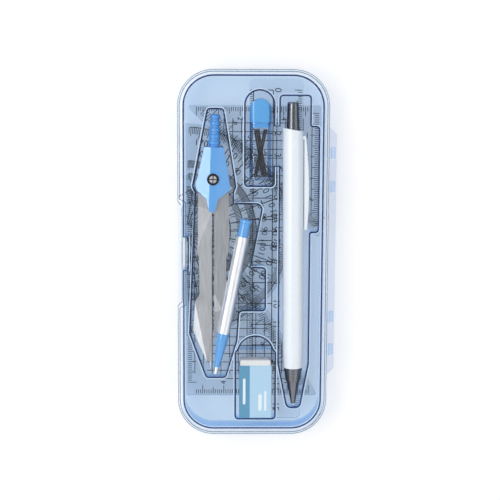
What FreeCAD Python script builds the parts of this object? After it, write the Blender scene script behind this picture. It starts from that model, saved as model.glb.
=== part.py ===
import FreeCAD, Part
import math
import os

# Drafting instrument case: a hinged plastic case, 170 mm long, that holds a compass with a lead
# holder, a lead case, a mechanical pencil and an eraser in a tray, with flat tools under the tray.
# Millimetres. +X points to the hinge, +Y to the button end of the pencil, +Z up.
# The origin is the middle of the underside.

V = FreeCAD.Vector

# Clearances
running_gap = 0.05
free_gap = 0.3
seat_gap = 0.05

# Flat tools, in three layers on the floor of the base
ruler_length = 161.0
ruler_width = 25.0
ruler_thickness = 1.2
ruler_corner = 2.5
ruler_x = 10.6
ruler_end_gap = 1.4
protractor_radius = 50.0
protractor_thickness = 1.2
protractor_y = 10.0
set_square_thickness = 1.2
set_square_corner = 1.0
tool_side_gap = 0.3

# Case shells
wall = 1.8
floor = 1.25
roof = 1.4
corner_radius = 16.5
bottom_round = 2.5
top_round = 2.6
headroom = 0.9
lip_height = 1.2
lip_thickness = 0.8
lip_gap = 0.2

# Insert tray
tray_sheet = 0.9
tray_gap = 0.4
tray_lift = 0.1
tray_depth = 6.2
tray_below_rim = 0.4
tray_margin = 2.6
pencil_end_margin = 6.0
tray_edge = 0.35
pocket_corner = 1.2
pocket_room = 1.0

# Hinge along the +X side
hinge_reach = 1.9
hinge_y = 1.5
rail_length = 116.0
rail_radius = 1.5
pin_radius = 1.0
hook_radius = 1.6
hook_width = 5.2
hook_mouth = 1.5
hook_side_gap = 0.25
inner_hook_offset = 30.4
outer_hook_offset = 45.9

# Latch in the middle of the -X side
latch_y = 0.6
recess_length = 48.5
recess_depth = 1.9
recess_wall = 1.6
tongue_width = 10.3
tongue_thickness = 1.1
tongue_drop = 5.4
tongue_root_radius = 0.85
tongue_root_lift = 1.1
barb_depth = 0.5
barb_height = 1.2
catch_depth = 2.2

# Mechanical pencil, along Y with a slight lean in its pocket
pencil_x = 18.6
pencil_lean = 0.5
barrel_start = -53.3
barrel_length = 111.3
barrel_radius = 4.75
barrel_end_radius = 4.4
barrel_taper = 9.0
barrel_bore = 3.5
barrel_slant = 1.8
button_length = 12.3
button_radius = 3.1
button_top_radius = 2.6
button_inside = 8.0
button_bore = 2.15
button_edge = 0.3
button_travel = 3.5
nose_collar = 6.3
nose_length = 17.5
nose_collar_end_radius = 3.5
nose_cone_radius = 3.1
nose_tip_radius = 1.0
nose_spigot = 8.3
nose_bore = 2.3
nose_bore_depth = 4.2
sleeve_radius = 0.6
sleeve_bore = 0.3
sleeve_length = 9.2
sleeve_show = 0.4
lead_radius = 0.25
lead_length = 52.0
lead_tube_radius = 1.6
lead_tube_bore = 1.1
lead_tube_start = 17.3
lead_tube_collar = 7.0
lead_tube_flange = 1.2
lead_tube_flange_radius = 2.9
button_eraser_length = 9.0
clutch_shank_radius = 1.3
clutch_head_radius = 1.9
clutch_head_length = 2.3
clutch_slit = 0.3
clutch_ring_length = 2.5
clutch_ring_gap = 0.1
pencil_spring_radius = 2.4
pencil_spring_wire = 0.4
pencil_spring_turns = 7
clip_reach = 7.1
clip_length = 43.0
clip_thickness = 1.2
clip_width = 3.8
clip_room = 4.0
clip_foot_radius = 0.75
clip_foot_depth = 1.0
clip_slot_gap = 0.2
pocket_top_room = 2.8

# Compass, measured from its pivot
pivot_x = -18.4
pivot_y = 35.2
head_lean = 2.0
head_top = 14.6
head_top_half = 4.4
head_half = 8.0
head_wide = -3.4
shoulder_half = 7.3
shoulder = -5.4
tongue_top_half = 2.8
tongue_top = -9.0
tongue_end_half = 1.2
tongue_end = -15.0
head_corner = 0.5
head_edge_drop = 2.0
head_band_half = 1.5
head_thickness = 3.4
back_thickness = 1.4
leg_play = 0.1
leg_thickness = 2.6
leg_gap = 1.0
hub_radius = 7.2
lap_radius = 9.2
washer_thickness = 0.3
washer_radius = 4.0
screw_radius = 1.4
screw_head_radius = 1.7
screw_head_height = 1.5
screw_slot = 0.45
screw_slot_depth = 0.5
ring_radius = 2.75
ring_height = 1.2
ring_proud = 0.15
nut_radius = 2.5
nut_height = 0.9
handle_length = 14.8
handle_radius = 2.9
handle_top_radius = 2.3
handle_ribs = 5
handle_groove = 0.4
handle_spigot_radius = 1.9
handle_spigot = 5.6
needle_radius = 0.5
needle_show = 4.0
needle_inside = 8.0
# Outer edge of each leg: distance from the middle line, height from the pivot
needle_leg_edge = [(7.0, -6.5), (7.0, -30.2), (7.6, -33.7), (6.6, -36.4), (6.3, -54.2),
                   (8.4, -57.7), (8.9, -66.2), (9.4, -71.2), (2.8, -86.0)]
pencil_leg_edge = [(7.2, -6.5), (7.5, -33.2), (6.0, -37.4), (6.2, -47.6), (10.2, -51.0),
                   (10.2, -57.4), (7.4, -60.4), (4.1, -61.0), (2.4, -72.0)]
pencil_leg_end = -76.0
facet_drop = 0.35

# Lead holder on the pencil leg, measured from its tip along its own axis
holder_lean = 10.96
holder_tip_x = 1.1
holder_tip_y = -91.2
holder_stand = 0.1
tip_length = 3.5
tip_inside = 5.5
tip_radius = 1.05
tip_end_radius = 0.8
nose_end = 19.8
nose_start_radius = 1.3
nose_lip = 2.3
nose_inside = 6.2
nose_hollow = 12.0
nose_hollow_radius = 1.6
holder_end = 66.0
holder_radius = 2.85
holder_bore = 2.5
cap_show = 8.1
cap_inside = 6.0
cap_bore = 1.9
cap_collar = 1.7
cap_collar_radius = 2.75
cap_crown = 0.35
cap_travel = 2.5
push_tube_radius = 1.5
push_tube_bore = 0.9
push_tube_start = 24.0
push_collar_start = 38.4
push_collar = 1.2
push_collar_radius = 2.3
chuck_start = 15.5
chuck_head = 2.5
chuck_head_radius = 1.45
chuck_radius = 1.2
chuck_inside = 6.0
holder_lead_radius = 0.5
holder_lead_start = 3.0
holder_lead_length = 50.0
holder_spring_radius = 2.0
holder_spring_wire = 0.35
holder_spring_turns = 8
stud_at = 37.7
stud_radius = 1.1
stud_head_radius = 1.9
stud_head = 0.6
holder_room = 3.1
cap_room = 8.1

# Finger recess beside the lead holder
finger_x = 5.5
finger_low_y = -25.8
finger_high_y = -6.2

# Lead case
lead_case_x = 3.3
lead_case_y = 34.5
lead_case_width = 10.0
lead_case_thickness = 5.0
lead_case_wall = 0.8
lead_tube_length = 26.6
lead_cap_length = 10.6
lead_cap_plug = 2.5
lead_cap_travel = 3.5
lead_case_room = 1.4
lead_case_offset = 0.5
lead_case_end_room = 2.2
spare_lead_radius = 0.4
spare_lead_lean = 9.5
upper_lead_lean = 12.0
channel_low_y = 41.5
channel_high_y = 59.3

# Eraser in its sleeve
eraser_x = 1.4
eraser_y = -76.9
eraser_width = 15.0
eraser_length = 27.6
eraser_height = 8.2
eraser_round = 1.0
eraser_travel = 3.0
sleeve_card = 0.4
sleeve_cover = 24.9
sleeve_foot = 0.4
eraser_room = 1.5
eraser_end_room = 4.0
notch_radius = 8.0
notch_depth = 2.7

# Levels
ruler_z = floor + seat_gap
protractor_z = ruler_z + ruler_thickness + seat_gap
set_square_z = protractor_z + protractor_thickness + seat_gap
stack_top = set_square_z + set_square_thickness
tray_foot = floor + seat_gap
pocket_floor = stack_top + tray_lift + tray_sheet
tray_top = pocket_floor + tray_depth
rim_z = tray_top + tray_below_rim
lid_z = rim_z + seat_gap
pencil_z = pocket_floor + seat_gap + barrel_radius
lead_case_z = pocket_floor + seat_gap
back_top = pocket_floor + back_thickness
leg_z = back_top + leg_play
leg_top = leg_z + leg_thickness
front_z = leg_top + leg_play
head_z = front_z + head_thickness
holder_z = leg_top + holder_stand + holder_radius
lap_z = leg_z + (leg_thickness - washer_thickness) / 2
ceiling = headroom + max(pencil_z + barrel_radius, holder_z + holder_radius)
lid_top = ceiling + roof

# Case outline, worked out from what lies in it
pencil_start = barrel_start - nose_length
barrel_top = barrel_start + barrel_length
button_top = barrel_top + button_length
clip_side = pencil_x + clip_reach + clip_room
tray_half_width = clip_side + tray_margin
tray_half_length = max(ruler_length / 2 + ruler_end_gap + tray_sheet,
                       eraser_room / 2 - eraser_y + tray_margin,
                       button_top + pocket_top_room + pencil_end_margin)
inside_half_width = tray_half_width + tray_gap
inside_half_length = tray_half_length + tray_gap
case_half_width = inside_half_width + wall
case_half_length = inside_half_length + wall
tray_corner = corner_radius - wall - tray_gap
hinge_x = case_half_width + hinge_reach
hook_places = [hinge_y - outer_hook_offset, hinge_y - inner_hook_offset,
               hinge_y + inner_hook_offset, hinge_y + outer_hook_offset]


def box(x0, x1, y0, y1, z0, z1):
    return Part.makeBox(x1 - x0, y1 - y0, z1 - z0, V(x0, y0, z0))


def rod(radius, start, end):
    along = end - start
    return Part.makeCylinder(radius, along.Length, start, along)


def upright(radius, x, y, z0, z1):
    return rod(radius, V(x, y, z0), V(x, y, z1))


def outline(corners):
    """Closed wire through corners (x, y) or (x, y, radius); a radius rounds its corner with an arc."""
    rounds = []
    count = len(corners)
    for i, corner in enumerate(corners):
        here = V(corner[0], corner[1], 0)
        before = (V(corners[i - 1][0], corners[i - 1][1], 0) - here).normalize()
        following = corners[(i + 1) % count]
        after = (V(following[0], following[1], 0) - here).normalize()
        radius = corner[2] if len(corner) > 2 else 0
        half = before.getAngle(after) / 2
        reach = radius / math.tan(half)
        inward = (before + after).normalize()
        middle = here + inward * (radius / math.sin(half) - radius)
        rounds.append((here + before * reach, middle, here + after * reach, radius))
    edges = []
    for i, (start, middle, end, radius) in enumerate(rounds):
        if radius > 0:
            edges.append(Part.Arc(start, middle, end).toShape())
        beyond = rounds[(i + 1) % count][0]
        if (beyond - end).Length > 1e-6:
            edges.append(Part.LineSegment(end, beyond).toShape())
    return Part.Wire(edges)


def prism(corners, z0, z1, grow=0):
    face = Part.Face(outline(corners))
    if grow:
        face = face.makeOffset2D(grow)
    return face.translated(V(0, 0, z0)).extrude(V(0, 0, z1 - z0))


def rounded_block(half_width, half_length, radius, z0, z1):
    corners = [(half_width, half_length, radius), (-half_width, half_length, radius),
               (-half_width, -half_length, radius), (half_width, -half_length, radius)]
    return prism(corners, z0, z1)


def turned(profile):
    """Solid of revolution about Y through points (radius, y)."""
    points = [V(radius, y, 0) for radius, y in profile]
    face = Part.Face(Part.makePolygon(points + points[:1]))
    return face.revolve(V(0, 0, 0), V(0, 1, 0), 360)


def roof_band(half_band, half_width, z_low, z_edge, z_high, y0, y1):
    """Long block with a flat band on top and a slope on each side of it."""
    points = [V(-half_width, y0, z_low), V(half_width, y0, z_low), V(half_width, y0, z_edge),
              V(half_band, y0, z_high), V(-half_band, y0, z_high), V(-half_width, y0, z_edge)]
    return Part.Face(Part.makePolygon(points + points[:1])).extrude(V(0, y1 - y0, 0))


def facet(start, end, z, reach, drop):
    """Wedge that slopes a flat top down on the right of the line from start to end."""
    line = V(end[0] - start[0], end[1] - start[1], 0)
    side = V(line.y, -line.x, 0).normalize() * reach
    origin = V(start[0], start[1], z)
    points = [origin, origin + side + V(0, 0, drop), origin + side - V(0, 0, drop)]
    return Part.Face(Part.makePolygon(points + points[:1])).extrude(line)


def coil_spring(radius, wire, y0, y1, turns):
    """Spring along Y, swept along quarter turns, with its least gap between turns printed."""
    pitch = (y1 - y0 - wire) / turns
    start = y0 + wire / 2

    def point(turn):
        angle = 2 * math.pi * turn
        return V(radius * math.cos(angle), start + pitch * turn, radius * math.sin(angle))

    quarters = []
    for i in range(turns * 4):
        quarters.append(Part.Arc(point(i / 4), point(i / 4 + 0.125), point(i / 4 + 0.25)).toShape())
    path = Part.Wire(quarters)
    tangent = quarters[0].tangentAt(quarters[0].FirstParameter)
    section = Part.Wire(Part.makeCircle(wire / 2, point(0), tangent))
    samples = [point(i / 24) for i in range(turns * 24 + 1)]
    gaps = [(a - b).Length - wire for i, a in enumerate(samples) for b in samples[i + 12:]]
    print("spring gap", round(min(gaps), 3))
    return path.makePipeShell([section], True, False)


def mirrored_corners(edge, radius):
    """Closed corner list from the right-hand edge of a shape that is symmetric about X = 0."""
    left = [(-x, y, radius) for x, y in reversed(edge)]
    return [(x, y, radius) for x, y in edge] + left


# Places


def on_pencil(shape):
    return shape.rotated(V(0, 0, 0), V(0, 0, 1), pencil_lean).translated(V(pencil_x, 0, pencil_z))


def on_compass(shape):
    return shape.translated(V(pivot_x, pivot_y, 0))


def on_head(shape):
    return on_compass(shape.rotated(V(0, 0, 0), V(0, 0, 1), -head_lean))


def on_holder(shape):
    turned_shape = shape.rotated(V(0, 0, 0), V(0, 0, 1), -holder_lean)
    return on_compass(turned_shape.translated(V(holder_tip_x, holder_tip_y, holder_z)))


def holder_place(along, aside):
    """Place on the holder, measured along its axis from the tip and to its right."""
    lean = math.radians(holder_lean)
    x = pivot_x + holder_tip_x + along * math.sin(lean) + aside * math.cos(lean)
    y = pivot_y + holder_tip_y + along * math.cos(lean) - aside * math.sin(lean)
    return (x, y)


# Case


def recess_block(grow, z0, z1):
    """Finger recess in the -X rim, with slanted ends, enlarged by grow."""
    half = recess_length / 2 + grow
    outer = -case_half_width
    inner = outer + recess_depth + grow
    corners = [(outer - wall, latch_y - half), (outer, latch_y - half),
               (inner, latch_y - half + recess_depth), (inner, latch_y + half - recess_depth),
               (outer, latch_y + half), (outer - wall, latch_y + half)]
    return prism(corners, z0, z1)


def hinge_rod(radius, y0, y1):
    return rod(radius, V(hinge_x, y0, rim_z), V(hinge_x, y1, rim_z))


def hinge_hook(y):
    low = y - hook_width / 2
    high = y + hook_width / 2
    web = box(case_half_width - wall / 2, hinge_x, low, high, rim_z - hook_radius, rim_z - free_gap)
    hook = hinge_rod(hook_radius, low, high).fuse(web)
    hook = hook.cut(hinge_rod(pin_radius + running_gap, low, high))
    half_mouth = hook_mouth / 2
    mouth = box(hinge_x - half_mouth, hinge_x + half_mouth, low, high, rim_z, rim_z + hook_radius)
    return hook.cut(mouth)


def tongue_back():
    return -case_half_width + tongue_thickness + free_gap


def barb(grow):
    """Ridge on the inner face of the tongue near its end, enlarged by grow."""
    x = -case_half_width + tongue_thickness
    z = rim_z - tongue_drop
    half = tongue_width / 2 + grow
    tip = x + free_gap + barb_depth + grow
    points = [V(x, latch_y - half, z - grow), V(tip, latch_y - half, z + barb_height / 2),
              V(x, latch_y - half, z + barb_height + grow)]
    return Part.Face(Part.makePolygon(points + points[:1])).extrude(V(0, 2 * half, 0))


def base_shell():
    body = rounded_block(case_half_width, case_half_length, corner_radius, 0, rim_z)
    bottom = [e for e in body.Edges if e.BoundBox.ZMax < 1e-6]
    body = body.makeFillet(bottom_round, bottom)
    lip = rounded_block(inside_half_width + lip_thickness, inside_half_length + lip_thickness,
                        corner_radius - wall + lip_thickness, floor, rim_z + lip_height)
    lip = lip.cut(recess_block(recess_wall + free_gap, rim_z, lid_top))
    hollow = rounded_block(inside_half_width, inside_half_length, corner_radius - wall, floor, lid_top)
    body = body.fuse(lip).cut(hollow)
    half = tongue_width / 2 + free_gap
    catch = box(-inside_half_width - wall / 2, -inside_half_width + catch_depth,
                latch_y - half - wall, latch_y + half + wall, stack_top + free_gap, rim_z)
    notch = box(-case_half_width - wall, tongue_back(), latch_y - half, latch_y + half,
                rim_z - tongue_drop - free_gap, rim_z)
    body = body.fuse(catch).cut(notch).cut(barb(free_gap))
    for y in hook_places:
        body = body.fuse(hinge_hook(y))
    return body.removeSplitter()


def hinge_rail():
    """Rail on the lid, with slanted ends, split by the gaps for the hooks and bridged by the pins."""
    reach = hinge_x + rail_radius
    slant = reach - case_half_width
    half = rail_length / 2
    corners = [(case_half_width - wall / 3, hinge_y - half), (case_half_width, hinge_y - half),
               (reach, hinge_y - half + slant), (reach, hinge_y + half - slant),
               (case_half_width, hinge_y + half), (case_half_width - wall / 3, hinge_y + half)]
    plate = prism(corners, rim_z + free_gap, rim_z + rail_radius)
    ends = prism(corners, rim_z - rail_radius, rim_z + rail_radius)
    rail = plate.fuse(hinge_rod(rail_radius, hinge_y - half, hinge_y + half).common(ends))
    half_gap = hook_width / 2 + hook_side_gap
    for y in hook_places:
        rail = rail.cut(box(case_half_width, reach, y - half_gap, y + half_gap,
                            rim_z - rail_radius, rim_z + rail_radius))
        rail = rail.fuse(hinge_rod(pin_radius, y - half_gap - pin_radius, y + half_gap + pin_radius))
    return rail


def lid_shell():
    body = rounded_block(case_half_width, case_half_length, corner_radius, lid_z, lid_top)
    top = [e for e in body.Edges if e.BoundBox.ZMin > lid_top - 1e-6]
    body = body.makeFillet(top_round, top).cut(recess_block(0, lid_z, lid_top))
    kept = recess_block(recess_wall, lid_z, ceiling)
    hollow = rounded_block(inside_half_width, inside_half_length, corner_radius - wall, lid_z, ceiling)
    spread = lip_thickness + lip_gap
    rebate = rounded_block(inside_half_width + spread, inside_half_length + spread,
                           corner_radius - wall + spread, lid_z, rim_z + lip_height + lip_gap)
    body = body.cut(hollow.cut(kept)).cut(rebate.cut(kept))
    return body.fuse(hinge_rail()).removeSplitter()


def latch_tongue():
    low = latch_y - tongue_width / 2
    high = latch_y + tongue_width / 2
    outer = -case_half_width
    root_x = outer + recess_depth - running_gap - tongue_root_radius
    root_z = rim_z + tongue_root_lift
    plate = box(outer, outer + tongue_thickness, low, high, rim_z - tongue_drop, root_z)
    root = rod(tongue_root_radius, V(root_x, low, root_z), V(root_x, high, root_z))
    bridge = box(outer, root_x, low, high, root_z - tongue_root_radius, root_z)
    return plate.fuse(bridge).fuse(root).fuse(barb(0)).removeSplitter()


# Flat tools


def tool_half_width():
    return tray_half_width - tray_sheet - tool_side_gap


def ruler():
    half = ruler_width / 2
    block = rounded_block(half, ruler_length / 2, ruler_corner, ruler_z, ruler_z + ruler_thickness)
    return block.translated(V(ruler_x, 0, 0))


def protractor():
    edge = -tool_half_width()
    top = protractor_z + protractor_thickness
    disc = upright(protractor_radius, edge, protractor_y, protractor_z, top)
    half = box(edge, edge + protractor_radius, protractor_y - protractor_radius,
               protractor_y + protractor_radius, protractor_z, top)
    return disc.common(half)


def set_square(side, slope):
    """Right-angled plate with its corner at the -X or +X side; slope is long leg over short leg."""
    half = tool_half_width()
    end = side * (tray_half_length - tray_corner)
    corners = [(side * half, end, set_square_corner), (-side * half, end, set_square_corner),
               (side * half, end - side * 2 * half * slope, set_square_corner)]
    return prism(corners, set_square_z, stack_top)


# Insert tray


def compass_pocket():
    side = pocket_room
    handle_end = pivot_y + head_top + handle_length + pocket_room + pocket_top_room / 2
    foot_y = pivot_y + needle_leg_edge[-1][1] - needle_show - pocket_top_room
    waist_y = pivot_y + shoulder - side / 2
    widest_y = pivot_y + head_wide
    wide_leg = max(x for x, y in needle_leg_edge)
    wide_leg_y = pivot_y + needle_leg_edge[-2][1] - side
    lean_shift = (head_top + handle_length) * math.tan(math.radians(head_lean))
    top_half = handle_top_radius + side
    reach = holder_radius + holder_room
    cap_end = holder_place(holder_end + cap_show + cap_room, reach)
    recess_at = (finger_high_y - pivot_y - holder_tip_y) / math.cos(math.radians(holder_lean))
    recess_join = holder_place(recess_at + reach * math.tan(math.radians(holder_lean)), reach)
    nose_side = holder_place(nose_end, reach + side)
    low_side = holder_place(nose_lip, tip_radius + holder_room)
    round_in = 2 * pocket_corner
    return [(pivot_x + lean_shift - top_half, handle_end, pocket_corner),
            (pivot_x + lean_shift + top_half, handle_end, pocket_corner),
            (pivot_x + head_half + 2 * side, widest_y, pocket_corner),
            (pivot_x + head_half + side, waist_y, pocket_corner),
            (pivot_x + head_half + side, cap_end[1], pocket_corner / 2),
            (cap_end[0], cap_end[1], round_in),
            (recess_join[0], finger_high_y, pocket_corner / 2),
            (finger_x, finger_high_y, pocket_corner),
            (finger_x, finger_low_y, pocket_corner),
            (nose_side[0], finger_low_y, round_in),
            (nose_side[0] - side, nose_side[1] - round_in, round_in),
            (low_side[0], foot_y, pocket_corner),
            (pivot_x - needle_leg_edge[-1][0], foot_y, pocket_corner),
            (pivot_x - wide_leg - side, wide_leg_y, pocket_corner),
            (pivot_x - shoulder_half - side / 3, waist_y, pocket_corner / 2),
            (pivot_x - head_half - side, widest_y, pocket_corner)]


def pencil_pocket():
    left = pencil_x - barrel_radius - 1.5 * pocket_room
    right = pencil_x + barrel_radius + 2.4 * pocket_room
    top = button_top + pocket_top_room
    clip_high = barrel_top + pocket_room
    clip_low = clip_high - clip_length - 5 * pocket_room
    taper = barrel_start + 2 * pocket_room
    end = pencil_start - sleeve_show - pocket_room
    tip_half = nose_tip_radius + 1.7 * pocket_room
    lean_shift = -pencil_start * math.tan(math.radians(pencil_lean))
    tip_x = pencil_x + lean_shift
    tip_round = 1.8 * pocket_corner
    return [(left, top, pocket_corner), (right, top, pocket_corner), (right, clip_high, pocket_corner),
            (clip_side, clip_high, pocket_corner), (clip_side, clip_low, pocket_corner),
            (right, clip_low, pocket_corner), (right, taper), (tip_x + tip_half, end, tip_round),
            (tip_x - tip_half, end, tip_round), (left, taper)]


def lead_case_pocket():
    half = lead_case_width / 2 + lead_case_room
    low = lead_case_y - lead_case_end_room
    high = lead_case_y + lead_tube_length + lead_cap_length + lead_cap_travel + free_gap
    arch = half - 1e-3
    x = lead_case_x - lead_case_offset
    return [(x - half, low, pocket_corner), (x + half, low, pocket_corner), (x + half, high, arch),
            (x - half, high, arch)]


def eraser_pocket():
    half = eraser_width / 2 + eraser_room
    low = eraser_y - eraser_room / 2
    high = eraser_y + eraser_length + eraser_end_room
    return [(eraser_x - half, low, pocket_corner), (eraser_x + half, low, pocket_corner),
            (eraser_x + half, high, pocket_corner), (eraser_x - half, high, pocket_corner)]


def finger_channel():
    left = lead_case_x
    right = pencil_x
    low = channel_low_y
    high = channel_high_y
    return [(left, low), (right, low), (right, high), (left, high)]


def insert_tray():
    block = rounded_block(tray_half_width, tray_half_length, tray_corner, tray_foot, tray_top)
    under = rounded_block(tray_half_width - tray_sheet, tray_half_length - tray_sheet,
                          tray_corner - tray_sheet, tray_foot, tray_top - tray_sheet)
    tray = block.cut(under)
    half = tongue_width / 2 + 2 * free_gap + wall
    catch_x = -inside_half_width + catch_depth + free_gap
    low = latch_y - half
    high = latch_y + half
    shield = box(-tray_half_width, catch_x + tray_sheet, low - tray_sheet, high + tray_sheet,
                 stack_top + tray_lift, tray_top)
    tray = tray.fuse(shield.common(block))
    pockets = [compass_pocket(), pencil_pocket(), lead_case_pocket(), eraser_pocket(), finger_channel()]
    for corners in pockets:
        tray = tray.fuse(prism(corners, pocket_floor - tray_sheet, tray_top - tray_sheet / 2, tray_sheet))
    notch_y = eraser_pocket()[2][1] - pocket_corner
    notch_floor = tray_top - notch_depth
    tray = tray.fuse(upright(notch_radius + tray_sheet, eraser_x, notch_y, notch_floor - tray_sheet,
                             tray_top - tray_sheet / 2))
    for corners in pockets:
        tray = tray.cut(prism(corners, pocket_floor, tray_top))
    tray = tray.cut(upright(notch_radius, eraser_x, notch_y, notch_floor, tray_top))
    tray = tray.cut(box(-tray_half_width - tray_gap, catch_x, low, high, tray_foot, tray_top))
    tray = tray.removeSplitter()
    rims = [e for e in tray.Edges if e.BoundBox.ZMin > tray_top - 1e-6]
    return tray.makeFillet(tray_edge, rims)


# Compass


def head_corners():
    edge = [(head_top_half, head_top), (head_half, head_wide), (shoulder_half, shoulder),
            (tongue_top_half, tongue_top), (tongue_end_half, tongue_end)]
    return mirrored_corners(edge, head_corner)


def handle_axis_z():
    return (pocket_floor + head_z) / 2


def handle_channel():
    low = head_top - handle_spigot - running_gap
    start = V(0, low, handle_axis_z())
    return rod(handle_spigot_radius + running_gap, start, start + V(0, handle_spigot + head_top, 0))


def head_front_cover():
    cover = prism(head_corners(), front_z, head_z)
    cover = cover.common(roof_band(head_band_half, head_half, front_z, head_z - head_edge_drop, head_z,
                                   tongue_end, head_top))
    shoulder_block = prism(head_corners(), back_top, front_z + head_thickness / 3)
    above_hub = box(-head_half, head_half, hub_radius + free_gap, head_top, back_top, head_z)
    cover = cover.fuse(shoulder_block.common(above_hub)).cut(handle_channel())
    cover = cover.cut(upright(screw_radius + running_gap, 0, 0, front_z, head_z))
    seat = head_z + ring_proud - ring_height
    return on_head(cover.cut(upright(ring_radius, 0, 0, seat, head_z)).removeSplitter())


def hexagon(radius, z0, z1):
    corners = []
    for i in range(6):
        corners.append((radius * math.cos(i * math.pi / 3), radius * math.sin(i * math.pi / 3)))
    return prism(corners, z0, z1)


def head_back_cover():
    cover = prism(head_corners(), pocket_floor, back_top).cut(handle_channel())
    cover = cover.cut(upright(screw_radius + running_gap, 0, 0, pocket_floor, back_top))
    return on_head(cover.cut(hexagon(nut_radius, pocket_floor, pocket_floor + nut_height)))


def pivot_nut():
    nut = hexagon(nut_radius, pocket_floor, pocket_floor + nut_height)
    return on_head(nut.cut(upright(screw_radius, 0, 0, pocket_floor, back_top)))


def pivot_screw():
    head_base = head_z + ring_proud - ring_height
    head_top_z = head_base + ring_height
    screw = upright(screw_radius, 0, 0, pocket_floor, head_base)
    screw = screw.fuse(upright(screw_head_radius, 0, 0, head_base, head_top_z))
    half = screw_slot / 2
    reach = screw_head_radius
    slot_z = head_top_z - screw_slot_depth
    long_slot = box(-reach, reach, -half, half, slot_z, head_top_z)
    cross_slot = box(-half, half, -reach, reach, slot_z, head_top_z)
    return on_head(screw.cut(long_slot).cut(cross_slot))


def pivot_ring():
    seat = head_z + ring_proud - ring_height
    ring = upright(ring_radius, 0, 0, seat, seat + ring_height)
    ring = ring.cut(upright(screw_head_radius, 0, 0, seat, seat + ring_height))
    return on_head(ring)


def friction_washer():
    top = lap_z + washer_thickness
    washer = upright(washer_radius, 0, 0, lap_z, top)
    return on_compass(washer.cut(upright(screw_radius + running_gap, 0, 0, lap_z, top)))


def grip_handle():
    profile = [(0, head_top - handle_spigot), (handle_spigot_radius, head_top - handle_spigot),
               (handle_spigot_radius, head_top)]
    pitch = handle_length / handle_ribs
    for i in range(handle_ribs):
        radius = handle_radius + (handle_top_radius - handle_radius) * i / (handle_ribs - 1)
        low = head_top + pitch * i
        profile += [(radius - handle_groove, low), (radius - handle_groove, low + pitch * 0.3),
                    (radius, low + pitch * 0.45), (radius, low + pitch * 0.85),
                    (radius - handle_groove, low + pitch)]
    profile.append((0, head_top + handle_length))
    return on_head(turned(profile).translated(V(0, 0, handle_axis_z())))


def leg_blank(side, edge, end):
    """Leg plate on the side -1 or +1 of the gap, with its hub."""
    inner = leg_gap / 2
    points = [(side * inner, edge[0][1])] + [(side * x, y) for x, y in edge] + [(side * inner, end)]
    return prism(points, leg_z, leg_top)


def hub(z0, z1):
    return upright(hub_radius, 0, 0, z0, z1)


def needle_leg():
    end = needle_leg_edge[-1][1]
    leg = leg_blank(-1, needle_leg_edge, end)
    leg = leg.cut(upright(lap_radius, 0, 0, lap_z, leg_top)).fuse(hub(leg_z, lap_z))
    leg = leg.cut(facet((-leg_gap / 2, tongue_end), needle_place(2), leg_top, 2 * lap_radius, 2 * facet_drop))
    leg = leg.cut(facet(needle_place(5), needle_place(8), leg_top, lap_radius, 3 * facet_drop))
    leg = leg.cut(upright(screw_radius + running_gap, 0, 0, leg_z, leg_top))
    return on_compass(leg.cut(needle_blank(running_gap)).removeSplitter())


def needle_place(index):
    x, y = needle_leg_edge[index]
    return (-x, y)


def needle_blank(grow):
    end = needle_leg_edge[-1][1]
    x = -leg_gap / 2 - needle_radius - 2 * running_gap
    z = leg_z + leg_thickness / 2
    shank = rod(needle_radius + grow, V(x, end + needle_inside, z), V(x, end - needle_show / 2, z))
    point = Part.makeCone(needle_radius + grow, needle_radius / 5, needle_show / 2,
                          V(x, end - needle_show / 2, z), V(0, -1, 0))
    return shank.fuse(point)


def needle():
    return on_compass(needle_blank(0))


def pencil_leg():
    leg = leg_blank(1, pencil_leg_edge, pencil_leg_end)
    leg = leg.cut(upright(lap_radius, 0, 0, leg_z, lap_z + washer_thickness))
    leg = leg.fuse(hub(lap_z + washer_thickness, leg_top))
    leg = leg.cut(facet((leg_gap / 2, pencil_leg_edge[6][1] + hub_radius), pencil_leg_edge[7], leg_top,
                        2 * lap_radius, 3 * facet_drop))
    leg = leg.cut(upright(screw_radius + running_gap, 0, 0, leg_z, leg_top))
    return on_compass(leg).cut(stud_blank(running_gap)).removeSplitter()


def stud_blank(grow):
    """Rivet under the lead holder, through the leg and into the tube wall."""
    x, y = holder_place(stud_at, 0)
    top = holder_z - holder_bore
    shank = upright(stud_radius + grow, x, y, leg_z - grow, top)
    return shank.fuse(upright(stud_head_radius + grow, x, y, leg_z - stud_head, leg_z))


def holder_stud():
    return stud_blank(0)


def holder_tip():
    bore = holder_lead_radius + running_gap
    return on_holder(turned([(bore, 0), (tip_end_radius, 0), (tip_radius, tip_length),
                             (tip_radius, tip_length + tip_inside), (bore, tip_length + tip_inside)]))


def holder_nose():
    fit = tip_radius + running_gap
    spigot = holder_bore - running_gap
    top = nose_end + nose_inside
    full = holder_radius - running_gap
    return on_holder(turned([(fit, tip_length), (nose_start_radius, tip_length), (full, nose_end - nose_lip),
                             (full, nose_end), (spigot, nose_end), (spigot, top), (nose_hollow_radius, top),
                             (nose_hollow_radius, nose_hollow), (fit, nose_hollow)]))


def holder_barrel():
    tube = on_holder(turned([(holder_bore, nose_end), (holder_radius, nose_end), (holder_radius, holder_end),
                             (holder_bore, holder_end)]))
    return tube.cut(stud_blank(0))


def holder_cap():
    outer = holder_bore - running_gap
    low = holder_end - cap_inside
    top = holder_end + cap_show
    crown = cap_crown
    return on_holder(turned([(cap_bore, low), (outer, low), (outer, top - cap_collar),
                             (cap_collar_radius, top - cap_collar + crown), (cap_collar_radius, top - crown),
                             (cap_collar_radius - crown, top), (0, top), (0, top - cap_collar),
                             (cap_bore, top - cap_collar)]))


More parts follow.
